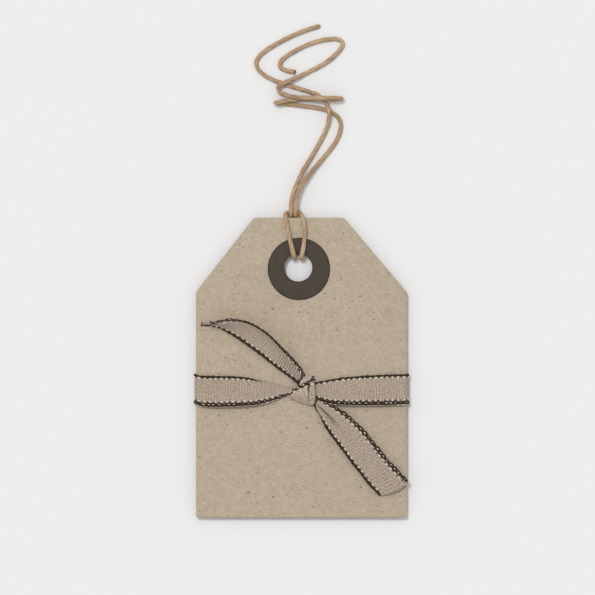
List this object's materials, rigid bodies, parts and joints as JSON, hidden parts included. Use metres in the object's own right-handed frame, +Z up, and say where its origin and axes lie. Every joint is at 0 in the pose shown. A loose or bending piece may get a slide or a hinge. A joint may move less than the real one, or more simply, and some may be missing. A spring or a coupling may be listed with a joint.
{
  "type": "gift tag",
  "caption": "Luggage-shaped board gift tag with a patched eyelet, a doubled string hitched through it, and a woven ribbon knotted round the card.",
  "frame": {"origin": "under the middle of the card, on the surface that the tag lies on", "axes": "+X to the tag's right seen from its front, +Y along the card to its eyelet end, +Z up, out of the tag's front"},
  "size_m": [0.0532, 0.122, 0.0094],
  "materials": {
    "board": "matte",
    "patch": "matte",
    "string": "matte",
    "ribbon": "matte"
  },
  "bodies": {
    "card": {"tag_card": "board", "ring_front": "patch", "ring_back": "patch", "string_hitch": "string"},
    "neck": {"string_neck_a": "string", "string_neck_b": "string"},
    "tails": {"string_tail_a": "string", "string_tail_b": "string"},
    "ribbon": {"ribbon_band_back": "ribbon", "ribbon_band_left": "ribbon", "ribbon_band_right": "ribbon", "ribbon_knot": "ribbon"},
    "tail_upper": {"ribbon_tail_upper": "ribbon"},
    "tail_lower": {"ribbon_tail_lower": "ribbon"}
  },
  "joints": [
    {"name": "string_swing", "type": "hinge", "parent": "card", "child": "neck", "pos_m": [-0.00191, 0.04118, 0.00275], "axis": [0, 0, 1], "range_deg": [-30, 30]},
    {"name": "string_fold", "type": "hinge", "parent": "neck", "child": "tails", "pos_m": [-0.00017, 0.0458, 0.002], "axis": [1, 0, 0], "range_deg": [-90, 120]},
    {"name": "ribbon_slide", "type": "slide", "parent": "card", "child": "ribbon", "axis": [0, 1, 0], "range_m": [-0.025, 0.008]},
    {"name": "tail_upper_lift", "type": "hinge", "parent": "ribbon", "child": "tail_upper", "pos_m": [-0.00046, -0.00293, 0.00318], "axis": [0.5624, 0.8269, 0], "range_deg": [0, 90]},
    {"name": "tail_lower_lift", "type": "hinge", "parent": "ribbon", "child": "tail_lower", "pos_m": [0.00385, -0.0089, 0.00318], "axis": [-0.7087, -0.7055, 0], "range_deg": [0, 90]}
  ]
}
